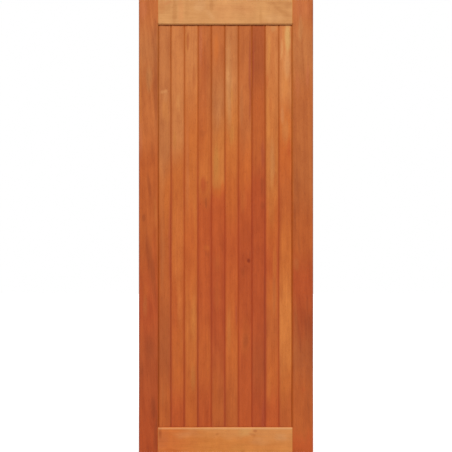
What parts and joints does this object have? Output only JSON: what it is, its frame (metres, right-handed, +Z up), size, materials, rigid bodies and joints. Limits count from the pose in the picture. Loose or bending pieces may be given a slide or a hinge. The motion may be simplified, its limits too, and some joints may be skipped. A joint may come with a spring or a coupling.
{
  "type": "framed ledged and braced door",
  "caption": "Boarded timber door leaf: stiles and rails round tongued V-jointed boards, with a middle ledge and diagonal braces across the back; it hangs by its hinge edge.",
  "frame": {"origin": "on the hinge edge, at the foot of the leaf, in the middle of its thickness", "axes": "+X across the leaf from hinge edge to lock edge, +Y from the boarded front to the braced back, +Z up"},
  "size_m": [0.762, 0.044, 1.981],
  "materials": {
    "stile_wood": "clear satin varnish over a reddish timber",
    "rail_wood": "clear satin varnish over a reddish timber",
    "board_light": "clear satin varnish over a reddish timber",
    "board_mid": "clear satin varnish over a reddish timber",
    "board_dark": "clear satin varnish over a reddish timber",
    "brace_wood": "clear satin varnish over a reddish timber",
    "wedge_wood": "clear satin varnish over a reddish timber"
  },
  "bodies": {
    "root": {"hinge_stile": "stile_wood", "lock_stile": "stile_wood", "top_rail": "rail_wood", "bottom_rail": "rail_wood", "middle_ledge": "brace_wood", "lower_brace": "brace_wood", "upper_brace": "brace_wood", "board_01": "board_mid", "board_02": "board_light", "board_03": "board_light", "board_04": "board_dark", "board_05": "board_mid", "board_06": "board_light", "board_07": "board_mid", "board_08": "board_dark", "board_09": "board_light", "board_10": "board_light", "wedge_top_hinge_upper": "wedge_wood", "wedge_top_hinge_lower": "wedge_wood", "wedge_top_lock_upper": "wedge_wood", "wedge_top_lock_lower": "wedge_wood", "wedge_middle_hinge_upper": "wedge_wood", "wedge_middle_hinge_lower": "wedge_wood", "wedge_middle_lock_upper": "wedge_wood", "wedge_middle_lock_lower": "wedge_wood", "wedge_bottom_hinge_upper": "wedge_wood", "wedge_bottom_hinge_lower": "wedge_wood", "wedge_bottom_lock_upper": "wedge_wood", "wedge_bottom_lock_lower": "wedge_wood"}
  },
  "joints": []
}
